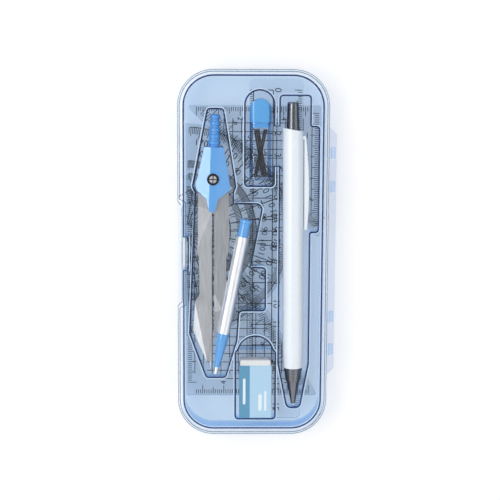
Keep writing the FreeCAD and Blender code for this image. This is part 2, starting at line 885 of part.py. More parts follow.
def holder_push_tube():
    top = holder_end
    collar_top = push_collar_start + push_collar
    plug = cap_bore - running_gap
    return on_holder(turned([(push_tube_bore, push_tube_start), (push_tube_radius, push_tube_start),
                             (push_tube_radius, push_collar_start), (push_collar_radius, push_collar_start),
                             (push_collar_radius, collar_top), (push_tube_radius, collar_top),
                             (push_tube_radius, top - cap_inside), (plug, top - cap_inside), (plug, top),
                             (push_tube_bore, top)]))


def holder_chuck():
    bore = holder_lead_radius + running_gap / 2
    plug = push_tube_bore - running_gap / 2
    top = push_tube_start + chuck_inside
    return on_holder(turned([(bore, chuck_start), (chuck_head_radius, chuck_start),
                             (chuck_radius, chuck_start + chuck_head), (chuck_radius, push_tube_start),
                             (plug, push_tube_start), (plug, top), (bore, top)]))


def holder_lead():
    start = V(0, holder_lead_start, 0)
    return on_holder(rod(holder_lead_radius, start, start + V(0, holder_lead_length, 0)))


def holder_spring():
    return on_holder(coil_spring(holder_spring_radius, holder_spring_wire, nose_end + nose_inside,
                                 push_collar_start, holder_spring_turns))


# Lead case


def lead_case_section(inset, y0, y1):
    """Flat tube section with round sides, along Y."""
    radius = lead_case_thickness / 2 - inset
    middle = lead_case_z + lead_case_thickness / 2
    reach = lead_case_width / 2 - lead_case_thickness / 2
    left = rod(radius, V(lead_case_x - reach, y0, middle), V(lead_case_x - reach, y1, middle))
    right = rod(radius, V(lead_case_x + reach, y0, middle), V(lead_case_x + reach, y1, middle))
    core = box(lead_case_x - reach, lead_case_x + reach, y0, y1, middle - radius, middle + radius)
    return left.fuse(core).fuse(right).removeSplitter()


def lead_case_tube():
    top = lead_case_y + lead_tube_length
    hollow = lead_case_section(lead_case_wall, lead_case_y + lead_case_wall, top)
    return lead_case_section(0, lead_case_y, top).cut(hollow)


def lead_case_cap():
    low = lead_case_y + lead_tube_length
    top = low + lead_cap_length
    half = lead_case_width / 2
    arch = half - 1e-3
    plan = [(lead_case_x - half, low), (lead_case_x + half, low), (lead_case_x + half, top, arch),
            (lead_case_x - half, top, arch)]
    cap = lead_case_section(0, low, top)
    cap = cap.common(prism(plan, lead_case_z, lead_case_z + lead_case_thickness))
    plug = lead_case_section(lead_case_wall + running_gap, low - lead_cap_plug, low)
    return cap.fuse(plug).removeSplitter()


def spare_leads():
    """Leads lying crossed in the tube: three lean one way below, two lean the other way above."""
    length = lead_tube_length - lead_case_wall - lead_cap_plug - 2 * free_gap
    middle = lead_case_y + lead_case_wall + free_gap + length / 2
    low_z = lead_case_z + lead_case_wall + spare_lead_radius + seat_gap
    pitch = 2 * spare_lead_radius + 2 * seat_gap
    leads = []
    for count, layer, lean in ((3, 0, spare_lead_lean), (2, 1, -upper_lead_lean)):
        angle = math.radians(lean)
        half = V(-math.sin(angle), math.cos(angle), 0) * (length / 2 - spare_lead_radius)
        for i in range(count):
            x = lead_case_x + (i - (count - 1) / 2) * pitch
            centre = V(x, middle, low_z + layer * pitch)
            leads.append(rod(spare_lead_radius, centre - half, centre + half))
    return Part.makeCompound(leads)


# Mechanical pencil


def spigot_top():
    return barrel_start + nose_spigot


def clip_pivot_y():
    return barrel_top - barrel_slant - 2 * pocket_room


def pencil_barrel():
    button_hole = button_radius + clip_slot_gap
    shoulder_y = barrel_top - button_inside - button_travel - 2 * free_gap
    top = barrel_top + barrel_slant
    body = turned([(barrel_bore, barrel_start), (barrel_end_radius, barrel_start),
                   (barrel_radius, barrel_start + barrel_taper), (barrel_radius, top), (button_hole, top),
                   (button_hole, shoulder_y), (barrel_bore, shoulder_y)])
    wide = 2 * barrel_radius
    slope = [(-wide, barrel_top + barrel_slant), (wide, barrel_top - barrel_slant), (wide, top + wide),
             (-wide, top + wide)]
    body = body.cut(prism(slope, -wide, wide))
    half = clip_foot_radius + clip_slot_gap
    deep = barrel_radius - clip_foot_depth - clip_slot_gap
    half_width = clip_width / 2 + clip_slot_gap
    slot = box(deep, wide, clip_pivot_y() - half, clip_pivot_y() + half, -half_width, half_width)
    return on_pencil(body.cut(slot))


def clip_pivot_x():
    return barrel_radius - clip_foot_depth + clip_foot_radius


def pencil_clip():
    y = clip_pivot_y()
    high = y + clip_foot_radius
    end = high - clip_length
    lift = barrel_radius + free_gap
    start = V(lift + clip_thickness / 2, high, 0)
    finish = V(lift + clip_thickness, end, 0)
    edges = [Part.Arc(start, V(clip_reach, (high + end) / 2, 0), finish).toShape(),
             Part.LineSegment(finish, V(lift, end, 0)).toShape(),
             Part.LineSegment(V(lift, end, 0), V(lift, high, 0)).toShape(),
             Part.LineSegment(V(lift, high, 0), start).toShape()]
    half = clip_width / 2
    strip = Part.Face(Part.Wire(edges)).translated(V(0, 0, -half)).extrude(V(0, 0, clip_width))
    foot = upright(clip_foot_radius, clip_pivot_x(), y, -half, half)
    neck = box(clip_pivot_x(), start.x, y - clip_foot_radius / 2, high, -half, half)
    return on_pencil(strip.fuse(foot).fuse(neck).removeSplitter())


def pencil_nose():
    spigot = barrel_bore - running_gap
    step_y = barrel_start - nose_collar
    fit = sleeve_radius + running_gap / 2
    deep = barrel_start - nose_bore_depth
    return on_pencil(turned([(nose_bore, spigot_top()), (spigot, spigot_top()), (spigot, barrel_start),
                             (barrel_end_radius - running_gap, barrel_start),
                             (nose_collar_end_radius, step_y),
                             (nose_cone_radius, step_y - running_gap * 4), (nose_tip_radius, pencil_start),
                             (fit, pencil_start), (fit, deep), (nose_bore, deep)]))


def lead_sleeve():
    low = pencil_start - sleeve_show
    top = low + sleeve_length
    profile = [(sleeve_bore, low), (sleeve_radius, low), (sleeve_radius, top), (sleeve_bore, top)]
    return on_pencil(turned(profile))


def pencil_button():
    low = barrel_top - button_inside
    edge = button_edge
    roof_y = button_top - 2 * edge
    return on_pencil(turned([(button_bore, low), (button_radius, low), (button_radius, barrel_top),
                             (button_top_radius, button_top - edge), (button_top_radius - edge, button_top),
                             (0, button_top), (0, roof_y), (button_bore - edge, roof_y),
                             (button_bore - edge, barrel_top + button_length / 2),
                             (button_bore, barrel_top)]))


def lead_tube_low():
    return barrel_start + lead_tube_start


def lead_tube():
    low = lead_tube_low()
    flange = low + 2 * lead_tube_flange
    collar = barrel_top - button_inside
    plug = button_bore - running_gap
    top = collar + lead_tube_collar
    flange_top = flange + lead_tube_flange
    return on_pencil(turned([(lead_tube_bore, low), (lead_tube_radius, low), (lead_tube_radius, flange),
                             (lead_tube_flange_radius, flange), (lead_tube_flange_radius, flange_top),
                             (lead_tube_radius, flange_top), (lead_tube_radius, collar), (plug, collar),
                             (plug, top), (lead_tube_bore, top)]))


def button_eraser():
    low = barrel_top - button_inside + lead_tube_collar
    radius = button_bore - 2 * button_edge
    return on_pencil(rod(radius, V(0, low, 0), V(0, low + button_eraser_length, 0)))


def clutch_ring_low():
    return barrel_start + nose_spigot / 3


def clutch():
    low = clutch_ring_low() - clutch_head_length - free_gap
    plug = lead_tube_bore - running_gap
    bore = lead_radius + running_gap / 2
    tube_low = lead_tube_low()
    body = turned([(bore, low), (clutch_head_radius, low), (clutch_shank_radius, low + clutch_head_length),
                   (clutch_shank_radius, tube_low), (plug, tube_low), (plug, tube_low + 2 * nose_bore),
                   (bore, tube_low + 2 * nose_bore)])
    wide = clutch_head_radius
    slit_top = low + 3 * clutch_head_length
    half = clutch_slit / 2
    slits = box(-wide, wide, low, slit_top, -half, half).fuse(box(-half, half, low, slit_top, -wide, wide))
    return on_pencil(body.cut(slits))


def clutch_ring():
    low = clutch_ring_low()
    top = low + clutch_ring_length
    bore = clutch_shank_radius + clutch_ring_gap
    outer = nose_bore - running_gap
    return on_pencil(turned([(bore, low), (outer, low), (outer, top), (bore, top)]))


def pencil_lead():
    low = pencil_start - sleeve_show + button_travel + free_gap
    return on_pencil(rod(lead_radius, V(0, low, 0), V(0, low + lead_length, 0)))


def pencil_spring():
    high = lead_tube_low() + 2 * lead_tube_flange
    return on_pencil(coil_spring(pencil_spring_radius, pencil_spring_wire, spigot_top(), high,
                                 pencil_spring_turns))


# Eraser


def eraser_block():
    half = eraser_width / 2 - sleeve_card - running_gap
    low = eraser_y + sleeve_foot
    inset = sleeve_card + running_gap
    body = box(eraser_x - half, eraser_x + half, low, eraser_y + eraser_length,
               pocket_floor + inset, pocket_floor + eraser_height - inset)
    ends = [e for e in body.Edges if e.BoundBox.YMin > eraser_y + eraser_length - 1e-6]
    return body.makeFillet(eraser_round, ends)


def eraser_sleeve():
    half = eraser_width / 2
    top = eraser_y + sleeve_cover
    outer = box(eraser_x - half, eraser_x + half, eraser_y, top, pocket_floor, pocket_floor + eraser_height)
    inner = box(eraser_x - half + sleeve_card, eraser_x + half - sleeve_card, eraser_y, top,
                pocket_floor + sleeve_card, pocket_floor + eraser_height - sleeve_card)
    return outer.cut(inner)


nodes = {
    "base_shell": base_shell(),
    "lid_shell": lid_shell(),
    "latch_tongue": latch_tongue(),
    "insert_tray": insert_tray(),
    "ruler": ruler(),
    "protractor": protractor(),
    "set_square_45": set_square(1, 1.0),
    "set_square_60": set_square(-1, math.tan(math.radians(60))),
    "head_front_cover": head_front_cover(),
    "head_back_cover": head_back_cover(),
    "pivot_nut": pivot_nut(),
    "pivot_screw": pivot_screw(),
    "pivot_ring": pivot_ring(),
    "friction_washer": friction_washer(),
    "grip_handle": grip_handle(),
    "needle_leg": needle_leg(),
    "needle": needle(),
    "pencil_leg": pencil_leg(),
    "holder_stud": holder_stud(),
    "holder_tip": holder_tip(),
    "holder_nose": holder_nose(),
    "holder_barrel": holder_barrel(),
    "holder_cap": holder_cap(),
    "holder_push_tube": holder_push_tube(),
    "holder_chuck": holder_chuck(),
    "holder_lead": holder_lead(),
    "holder_spring": holder_spring(),
    "lead_case_tube": lead_case_tube(),
    "lead_case_cap": lead_case_cap(),
    "spare_leads": spare_leads(),
    "pencil_barrel": pencil_barrel(),
    "pencil_clip": pencil_clip(),
    "pencil_nose": pencil_nose(),
    "lead_sleeve": lead_sleeve(),
    "pencil_button": pencil_button(),
    "lead_tube": lead_tube(),
    "button_eraser": button_eraser(),
    "clutch": clutch(),
    "clutch_ring": clutch_ring(),
    "pencil_lead": pencil_lead(),
    "pencil_spring": pencil_spring(),
    "eraser_block": eraser_block(),
    "eraser_sleeve": eraser_sleeve(),
}

os.makedirs("parts", exist_ok=True)
for name, shape in nodes.items():
    shape.exportStep("parts/" + name + ".step")
    print(name, len(shape.Solids), "solid(s)", round(shape.Volume, 2), "mm3, valid:", shape.isValid())
print("case", 2 * case_half_width, "by", 2 * case_half_length, "by", lid_top, "hinge axis", hinge_x, rim_z)
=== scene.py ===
import math
import bmesh
import bpy
from mathutils import Matrix, Vector


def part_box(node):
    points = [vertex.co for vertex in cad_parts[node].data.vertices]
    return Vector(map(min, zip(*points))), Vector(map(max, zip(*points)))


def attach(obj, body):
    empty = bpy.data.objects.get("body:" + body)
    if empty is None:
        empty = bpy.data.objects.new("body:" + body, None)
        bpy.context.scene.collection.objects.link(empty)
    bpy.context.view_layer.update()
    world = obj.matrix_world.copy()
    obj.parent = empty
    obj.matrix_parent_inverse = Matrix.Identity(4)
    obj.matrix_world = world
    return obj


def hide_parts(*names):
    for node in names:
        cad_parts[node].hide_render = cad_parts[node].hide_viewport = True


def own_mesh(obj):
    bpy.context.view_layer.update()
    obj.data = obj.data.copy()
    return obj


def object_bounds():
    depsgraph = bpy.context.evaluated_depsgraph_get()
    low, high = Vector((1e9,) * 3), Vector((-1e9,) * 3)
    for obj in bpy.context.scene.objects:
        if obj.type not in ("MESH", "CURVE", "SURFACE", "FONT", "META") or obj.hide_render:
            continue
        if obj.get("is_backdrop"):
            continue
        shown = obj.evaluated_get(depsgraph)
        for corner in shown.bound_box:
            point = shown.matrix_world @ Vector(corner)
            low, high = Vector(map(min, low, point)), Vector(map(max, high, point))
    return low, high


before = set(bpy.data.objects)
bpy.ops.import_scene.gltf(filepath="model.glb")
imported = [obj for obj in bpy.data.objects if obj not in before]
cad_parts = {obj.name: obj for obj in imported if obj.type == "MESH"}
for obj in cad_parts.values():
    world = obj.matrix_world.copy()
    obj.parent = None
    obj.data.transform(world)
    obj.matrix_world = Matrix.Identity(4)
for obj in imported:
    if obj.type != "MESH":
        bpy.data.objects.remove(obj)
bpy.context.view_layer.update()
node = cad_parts

# Base shell
# The tub of the case: injection-moulded clear styrene with a faint blue tint, gloss on both sides.
# The flow of the melt leaves gentle waves in the sheet, which show in its gloss.

mm = 0.001
clear_ior = 1.4
hinge_side = 34.7 * mm


def new_material(name):
    """Empty material with nodes."""
    made = bpy.data.materials.new(name)
    made.use_nodes = True
    made.node_tree.nodes.clear()
    return made


def add(material, kind, **values):
    """New node with its inputs set by name, an underscore standing for a space."""
    made = material.node_tree.nodes.new(kind)
    for socket, value in values.items():
        made.inputs[socket.replace("_", " ")].default_value = value
    return made


def wire(material, start, end):
    material.node_tree.links.new(start, end)


def noise_in_object(material, scale, detail, stretch=(1, 1, 1)):
    """Noise fixed to the piece, scale in waves per metre, stretched by factors along X, Y and Z."""
    place = add(material, "ShaderNodeTexCoord")
    mapping = add(material, "ShaderNodeMapping", Scale=stretch)
    wave = add(material, "ShaderNodeTexNoise", Scale=scale, Detail=detail)
    wire(material, place.outputs["Object"], mapping.inputs["Vector"])
    wire(material, mapping.outputs["Vector"], wave.inputs["Vector"])
    return wave.outputs["Fac"]


def spread(material, source, low, high):
    """The middle half of a noise spread from low to high."""
    made = add(material, "ShaderNodeMapRange", To_Min=low, To_Max=high, From_Min=0.25, From_Max=0.75)
    wire(material, source, made.inputs["Value"])
    return made.outputs["Result"]


def tint_between(material, source, first, second):
    """Mix of two colours, each a tuple or a socket."""
    made = material.node_tree.nodes.new("ShaderNodeMix")
    made.data_type = "RGBA"
    colours = [s for s in made.inputs if s.type == "RGBA"]
    for socket, colour in zip(colours, (first, second)):
        if isinstance(colour, tuple):
            socket.default_value = (*colour, 1)
        else:
            wire(material, colour, socket)
    wire(material, source, made.inputs["Factor"])
    return [s for s in made.outputs if s.type == "RGBA"][0]


def arithmetic(material, operation, first, second):
    """Math node; each operand is a number or a socket."""
    made = material.node_tree.nodes.new("ShaderNodeMath")
    made.operation = operation
    for socket, value in zip(made.inputs, (first, second)):
        if isinstance(value, (int, float)):
            socket.default_value = value
        else:
            wire(material, value, socket)
    return made.outputs["Value"]


def axis(material, kind, letter):
    """One coordinate of a point of the piece, kind Object, or of the way its face looks, kind Normal."""
    place = add(material, "ShaderNodeTexCoord")
    axes = add(material, "ShaderNodeSeparateXYZ")
    wire(material, place.outputs[kind], axes.inputs["Vector"])
    return axes.outputs[letter]


def slope_tint(material, stops):
    """Colour by the slope of the face; the stops run from upright, 0, to level, 1."""
    ramp = add(material, "ShaderNodeValToRGB")
    stop = ramp.color_ramp.elements
    stop[0].color = (*stops[0][1], 1)
    stop[1].color = (*stops[-1][1], 1)
    for position, colour in stops[1:-1]:
        stop.new(position).color = (*colour, 1)
    wire(material, arithmetic(material, "ABSOLUTE", axis(material, "Normal", "Z"), 0.0), ramp.inputs["Fac"])
    return ramp.outputs["Color"]


def clear_plastic(name, absorb, ripple, stops, hinge=None):
    """Clear plastic. absorb is the loss per millimetre for red, green and blue. The stops tint the skin by
    its slope, a painted shade that stands in for the way the sheet bends and leads light at its walls and
    rounds.
    hinge tints the solid pieces outside the long side."""
    made = new_material(name)
    flow = noise_in_object(made, 60.0, 3.0)
    bump = add(made, "ShaderNodeBump", Strength=ripple, Distance=0.4 * mm)
    wire(made, flow, bump.inputs["Height"])
    fresnel = add(made, "ShaderNodeFresnel", IOR=clear_ior)
    wire(made, bump.outputs["Normal"], fresnel.inputs["Normal"])
    side = add(made, "ShaderNodeNewGeometry")
    outside = arithmetic(made, "SUBTRACT", 1.0, side.outputs["Backfacing"])
    shine = add(made, "ShaderNodeBsdfGlossy", Color=(1, 1, 1, 1))
    wire(made, spread(made, flow, 0.03, 0.10), shine.inputs["Roughness"])
    wire(made, bump.outputs["Normal"], shine.inputs["Normal"])
    skin = slope_tint(made, stops)
    if hinge:
        beyond = arithmetic(made, "GREATER_THAN", axis(made, "Object", "X"), hinge_side)
        skin = tint_between(made, beyond, skin, hinge)
    through = add(made, "ShaderNodeBsdfTransparent")
    wire(made, tint_between(made, spread(made, flow, 0.0, 0.08), skin, (1, 1, 1)), through.inputs["Color"])
    both = add(made, "ShaderNodeMixShader")
    wire(made, arithmetic(made, "MULTIPLY", fresnel.outputs["Fac"], outside), both.inputs["Fac"])
    wire(made, through.outputs["BSDF"], both.inputs[1])
    wire(made, shine.outputs["BSDF"], both.inputs[2])
    density = 1.25 * max(absorb) / mm
    body = add(made, "ShaderNodeVolumeAbsorption", Density=density,
               Color=tuple(1 - loss / mm / density for loss in absorb) + (1,))
    out = add(made, "ShaderNodeOutputMaterial")
    wire(made, both.outputs["Shader"], out.inputs["Surface"])
    wire(made, body.outputs["Volume"], out.inputs["Volume"])
    return made


def dress(material, *names):
    """Gives solids of the frame one material."""
    for name in names:
        node[name].data.materials.clear()
        node[name].data.materials.append(material)


# Steep faces and rounds get a light painted shade; level faces keep the case's own faint tint.
case_slopes = ((0.0, (0.975, 0.99, 1.0)), (0.06, (0.84, 0.90, 0.95)), (0.40, (0.93, 0.965, 0.99)),
               (0.55, (0.985, 0.997, 1.0)), (0.97, (0.985, 0.997, 1.0)), (1.0, (0.99, 0.995, 1.0)))
hook_tint = (0.86, 0.92, 0.98)
case_clear = clear_plastic("case clear", (0.004, 0.002, 0.0005), 0.05, case_slopes, hook_tint)
dress(case_clear, "base_shell")

# Flat tools
# Ruler, protractor and set squares: clear sheet with fine black graduations hot-stamped on it.
# They lie in layers on the floor of the tub and show through the tray.

foil = 0.02 * mm
over_sheet = 0.015 * mm
fine = 0.32 * mm
bold = 0.42 * mm
tool_loss = (0.022, 0.013, 0.005)
# The tools' upright edges get a painted shade; level faces keep each sheet's own tint.
tool_edges = ((0.0, (0.55, 0.68, 0.84)), (0.90, (0.60, 0.72, 0.86)))
ruler_clear = clear_plastic("ruler clear", tool_loss, 0.03, (*tool_edges, (1.0, (0.97, 0.98, 0.99))))
tool_clear = clear_plastic("tool clear", tool_loss, 0.03, (*tool_edges, (1.0, (0.88, 0.90, 0.92))))
dress(ruler_clear, "ruler")
dress(tool_clear, "protractor", "set_square_45", "set_square_60")


def ink_material(name, first, second):
    """Stamping foil: matt, with small bare specks."""
    made = new_material(name)
    specks = noise_in_object(made, 1500.0, 2.0)
    face = add(made, "ShaderNodeBsdfPrincipled", Specular_IOR_Level=0.2)
    wire(made, tint_between(made, specks, first, second), face.inputs["Base Color"])
    wire(made, spread(made, specks, 0.5, 0.8), face.inputs["Roughness"])
    out = add(made, "ShaderNodeOutputMaterial")
    wire(made, face.outputs["BSDF"], out.inputs["Surface"])
    return made


ink = ink_material("graduation ink", (0.004, 0.006, 0.015), (0.012, 0.018, 0.04))


def graduation_tree(ring):
    """Nodes that set out marks at equal steps, longer at each fifth and tenth, along +Y or round a circle."""
    tree = bpy.data.node_groups.new("ring marks" if ring else "edge marks", "GeometryNodeTree")
    for label in ("Count", "Step", "Short", "Middle", "Long", "Width", "Radius", "Ink"):
        kind = {"Count": "NodeSocketInt", "Ink": "NodeSocketMaterial"}.get(label, "NodeSocketFloat")
        tree.interface.new_socket(label, in_out="INPUT", socket_type=kind)
    tree.interface.new_socket("Marks", in_out="OUTPUT", socket_type="NodeSocketGeometry")
    link = tree.links.new
    given = tree.nodes.new("NodeGroupInput").outputs

    def feed(made, values):
        for socket, value in zip(made.inputs, values):
            if isinstance(value, (int, float)):
                socket.default_value = value
            else:
                link(value, socket)
        return made.outputs[0]

    def calculate(operation, *values):
        made = tree.nodes.new("ShaderNodeMath")
        made.operation = operation
        return feed(made, values)

    def choose(test, other, chosen):
        made = tree.nodes.new("GeometryNodeSwitch")
        made.input_type = "FLOAT"
        link(test, made.inputs["Switch"])
        link(other, made.inputs["False"])
        link(chosen, made.inputs["True"])
        return made.outputs["Output"]

    def vector(x, y, z):
        return feed(tree.nodes.new("ShaderNodeCombineXYZ"), (x, y, z))

    index = tree.nodes.new("GeometryNodeInputIndex").outputs["Index"]
    fifth = calculate("LESS_THAN", calculate("MODULO", index, 5.0), 0.5)
    tenth = calculate("LESS_THAN", calculate("MODULO", index, 10.0), 0.5)
    length = choose(tenth, choose(fifth, given["Short"], given["Middle"]), given["Long"])
    along = calculate("MULTIPLY", index, given["Step"])
    half = calculate("MULTIPLY", length, 0.5)
    if ring:
        reach = calculate("SUBTRACT", given["Radius"], half)
        place = vector(calculate("MULTIPLY", reach, calculate("COSINE", along)),
                       calculate("MULTIPLY", reach, calculate("SINE", along)), 0.0)
        turn = vector(0.0, 0.0, along)
    else:
        place = vector(calculate("ADD", given["Radius"], half), along, 0.0)
        turn = vector(0.0, 0.0, 0.0)
    points = tree.nodes.new("GeometryNodeMeshLine")
    link(given["Count"], points.inputs["Count"])
    moved = tree.nodes.new("GeometryNodeSetPosition")
    link(points.outputs["Mesh"], moved.inputs["Geometry"])
    link(place, moved.inputs["Position"])
    mark = tree.nodes.new("GeometryNodeMeshCube")
    copies = tree.nodes.new("GeometryNodeInstanceOnPoints")
    link(moved.outputs["Geometry"], copies.inputs["Points"])
    link(mark.outputs["Mesh"], copies.inputs["Instance"])
    link(turn, copies.inputs["Rotation"])
    link(vector(length, given["Width"], foil), copies.inputs["Scale"])
    real = tree.nodes.new("GeometryNodeRealizeInstances")
    link(copies.outputs["Instances"], real.inputs["Geometry"])
    inked = tree.nodes.new("GeometryNodeSetMaterial")
    link(real.outputs["Geometry"], inked.inputs["Geometry"])
    link(given["Ink"], inked.inputs["Material"])
    out = tree.nodes.new("NodeGroupOutput")
    link(inked.outputs["Geometry"], out.inputs["Marks"])
    return tree


edge_marks = graduation_tree(False)
ring_marks = graduation_tree(True)


def link_object(name, data):
    """New object in the scene, at the origin."""
    made = bpy.data.objects.new(name, data)
    bpy.context.scene.collection.objects.link(made)
    return made


def plain_mesh(holder):
    """Plain mesh of a holder's curve or modifier; the holder goes."""
    ready = holder.evaluated_get(bpy.context.evaluated_depsgraph_get())
    mesh = bpy.data.meshes.new_from_object(ready)
    bpy.data.objects.remove(holder)
    return mesh


def at(x, y, z, turn=0.0):
    """Place in the frame, turned about Z by degrees."""
    return Matrix.Translation((x, y, z)) @ Matrix.Rotation(math.radians(turn), 4, "Z")


def marks(tree, place, **values):
    """Mesh of the marks that a graduation tree makes, moved to its place."""
    holder = link_object("marks", bpy.data.meshes.new("marks"))
    made = holder.modifiers.new("marks", "NODES")
    made.node_group = tree
    for item in tree.interface.items_tree:
        if item.in_out == "INPUT":
            made[item.identifier] = ink if item.name == "Ink" else values.get(item.name.lower(), 0.0)
    mesh = plain_mesh(holder)
    mesh.transform(place)
    return mesh


def numeral(text, x, y, z, size, turn):
    """Mesh of a printed number, its middle at the place given."""
    curve = bpy.data.curves.new("numeral", "FONT")
    curve.body = text
    curve.size = size
    curve.extrude = foil / 2
    curve.align_x = "CENTER"
    curve.align_y = "CENTER"
    curve.resolution_u = 3
    mesh = plain_mesh(link_object("numeral", curve))
    mesh.transform(at(x, y, z, turn))
    return mesh


def bar(x0, y0, x1, y1, z, width):
    """Printed straight line."""
    length = math.hypot(x1 - x0, y1 - y0)
    turn = math.degrees(math.atan2(y1 - y0, x1 - x0))
    place = at((x0 + x1) / 2, (y0 + y1) / 2, z, turn)
    mesh = bpy.data.meshes.new("bar")
    grown = bmesh.new()
    bmesh.ops.create_cube(grown, size=1, matrix=place @ Matrix.Diagonal((length, width, foil, 1)))
    grown.to_mesh(mesh)
    grown.free()
    return mesh


def printed(name, meshes, material):
    """One object of all the marks printed on a piece of the case."""
    whole = bmesh.new()
    for mesh in meshes:
        whole.from_mesh(mesh)
    bmesh.ops.remove_doubles(whole, verts=whole.verts, dist=1e-7)
    bmesh.ops.recalc_face_normals(whole, faces=whole.faces)
    mesh = bpy.data.meshes.new(name)
    whole.to_mesh(mesh)
    whole.free()
    mesh.materials.clear()
    mesh.materials.append(material)
    for face in mesh.polygons:
        face.material_index = 0
    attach(link_object(name, mesh), "case")


# Ruler: millimetres along both long edges, centimetre lines and numbers down the middle
low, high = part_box("ruler")
scale = 150 * mm
zero = high.y - 5.2 * mm
z = high.z + over_sheet
lines = [marks(edge_marks, at(high.x - 0.6 * mm, zero, z, 180), count=151, step=1 * mm,
               short=1.8 * mm, middle=2.6 * mm, long=3.4 * mm, width=fine),
         marks(edge_marks, at(low.x + 0.4 * mm, zero - scale, z), count=151, step=1 * mm,
               short=1.2 * mm, middle=1.8 * mm, long=2.4 * mm, width=fine)]
for centimetre in range(16):
    y = zero - centimetre * 10 * mm
    lines.append(numeral(str(centimetre), low.x + 13.2 * mm, y, z, 4.4 * mm, -90))
    lines.append(bar(low.x + 2 * mm, y, low.x + 11 * mm, y, z, bold))
for aside in (2.0, 11.1):
    x = low.x + aside * mm
    lines.append(bar(x, zero, x, zero - scale, z, bold))
printed("ruler_print", lines, ink)

# Protractor: five rings of degrees with their circles, spokes, and two rows of numbers
low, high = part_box("protractor")
middle_y = (low.y + high.y) / 2
radius = high.x - low.x
z = high.z + over_sheet
centre = at(low.x, middle_y, z, -88)
rings = ((0.97, 3.2, 1), (0.66, 3.4, 1), (0.54, 3.0, 1.5), (0.42, 2.8, 2), (0.30, 2.4, 3))
lines = []
for share, length, degrees in rings:
    reach = radius * share
    step = math.radians(degrees)
    count = int(176 / degrees)
    lines.append(marks(ring_marks, centre, count=count + 1, step=step, short=length * mm,
                       middle=1.3 * length * mm, long=1.7 * length * mm, width=fine, radius=reach))
    lines.append(marks(ring_marks, centre, count=count, step=step, short=fine,
                       middle=fine, long=fine, width=1.1 * reach * step, radius=reach))
for degree in range(10, 180, 10):
    angle = math.radians(degree - 90)
    c = math.cos(angle) * radius
    s = math.sin(angle) * radius
    for share, number, size in ((0.83, degree, 4.4), (0.73, 180 - degree, 4.0)):
        x = low.x + c * share
        y = middle_y + s * share
        lines.append(numeral(str(number), x, y, z, size * mm, degree - 180))
    lines.append(bar(low.x + c * 0.06, middle_y + s * 0.06, low.x + c * 0.90, middle_y + s * 0.90, z, bold))
printed("protractor_print", lines, ink)

# Set squares: millimetres and numbers along the legs and the long side, and a grid of squares inside
grid = 4 * mm
for name, side in (("set_square_45", 1), ("set_square_60", -1)):
    low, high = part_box(name)
    z = high.z + over_sheet
    corner = Vector((high.x, high.y)) if side > 0 else Vector((low.x, low.y))
    across = Vector((low.x - high.x, 0)) * side
    down = Vector((0, low.y - high.y)) * side
    lines = []
    for first, second, longer in ((corner + down, corner + across, 1.8), (corner + across, corner, 1.0),
                                  (corner, corner + down, 1.0)):
        span = second - first
        start = first + span * 0.06
        turn = math.degrees(math.atan2(span.y, span.x)) - 90
        place = at(start.x, start.y, z, turn)
        millimetres = span.length * 0.88 / mm
        lines.append(marks(edge_marks, place, count=int(millimetres), step=1 * mm,
                           short=2.0 * longer * mm, middle=3.0 * longer * mm, long=4.0 * longer * mm,
                           width=fine, radius=0.8 * mm))
        for tenth in range(1, int(millimetres / 10)):
            spot = place @ Vector(((4.0 * longer + 2.2) * mm, tenth * 10 * mm, 0))
            lines.append(numeral(str(tenth), spot.x, spot.y, z, 3.6 * mm, turn))
    rows = int(down.length / grid)
    columns = int(across.length / grid)
    for row in range(2, int(0.72 * rows)):
        first = corner + down * row / rows + across * 0.16
        second = corner + down * row / rows + across * (0.90 - 0.90 * row / rows)
        lines.append(bar(first.x, first.y, second.x, second.y, z, fine))
    for column in range(1, columns - 1):
        first = corner + across * column / columns + down * 0.10
        second = corner + across * column / columns + down * (0.90 - 0.90 * column / columns)
        lines.append(bar(first.x, first.y, second.x, second.y, z, fine))
    printed(name + "_print", lines, ink)

# Insert tray
# Blue-tinted clear tray, moulded with a pocket for each tool; its walls, seen edge-on, carry a deeper
# painted shade by their slope.
# It drops into the tub over the flat tools. A thin dark strip of painted shade and a pale strip of painted
# highlight run round the mouth of each pocket.

# Upright faces and rounds get a deeper painted shade; level faces keep the tray's own tint.
tray_slopes = ((0.0, (0.74, 0.87, 0.99)), (0.25, (0.70, 0.84, 0.98)), (0.40, (0.80, 0.92, 1.0)),
               (0.90, (0.86, 0.95, 1.0)), (0.985, (0.90, 0.94, 0.98)), (1.0, (0.90, 0.94, 0.98)))
tray_blue = clear_plastic("tray blue", (0.14, 0.075, 0.022), 0.06, tray_slopes)
dress(tray_blue, "insert_tray")


def rim_loops(name, level):
    """Closed rows of points round the level faces of a piece at one height."""
    whole = bmesh.new()
    whole.from_mesh(node[name].data)
    bmesh.ops.remove_doubles(whole, verts=whole.verts, dist=1e-6)
    flat = {face for face in whole.faces
            if abs(face.normal.z) > 0.999 and abs(face.calc_center_median().z - level) < 1e-5}
    ahead = {}
    for face in flat:
        for corner in face.loops:
            if not any(other in flat for other in corner.edge.link_faces if other is not face):
                ahead[corner.vert.index] = corner.link_loop_next.vert.index
    places = [v.co.copy() for v in whole.verts]
    whole.free()
    rows = []
    while ahead:
        start, step = ahead.popitem()
        row = [start]
        while step in ahead:
            row.append(step)
            step = ahead.pop(step)
        rows.append([places[i] for i in row])
    return rows


def bead(name, rows, radius, material, body):
    """Thin round bead along closed rows of points."""
    curve = bpy.data.curves.new(name, "CURVE")
    curve.dimensions = "3D"
    curve.bevel_depth = radius
    curve.bevel_resolution = 2
    for row in rows:
        spline = curve.splines.new("POLY")
        spline.points.add(len(row) - 1)
        for point, place in zip(spline.points, row):
            point.co = (*place, 1)
        spline.use_cyclic_u = True
    mesh = plain_mesh(link_object(name, curve))
    mesh.materials.clear()
    mesh.materials.append(material)
    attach(link_object(name, mesh), body)


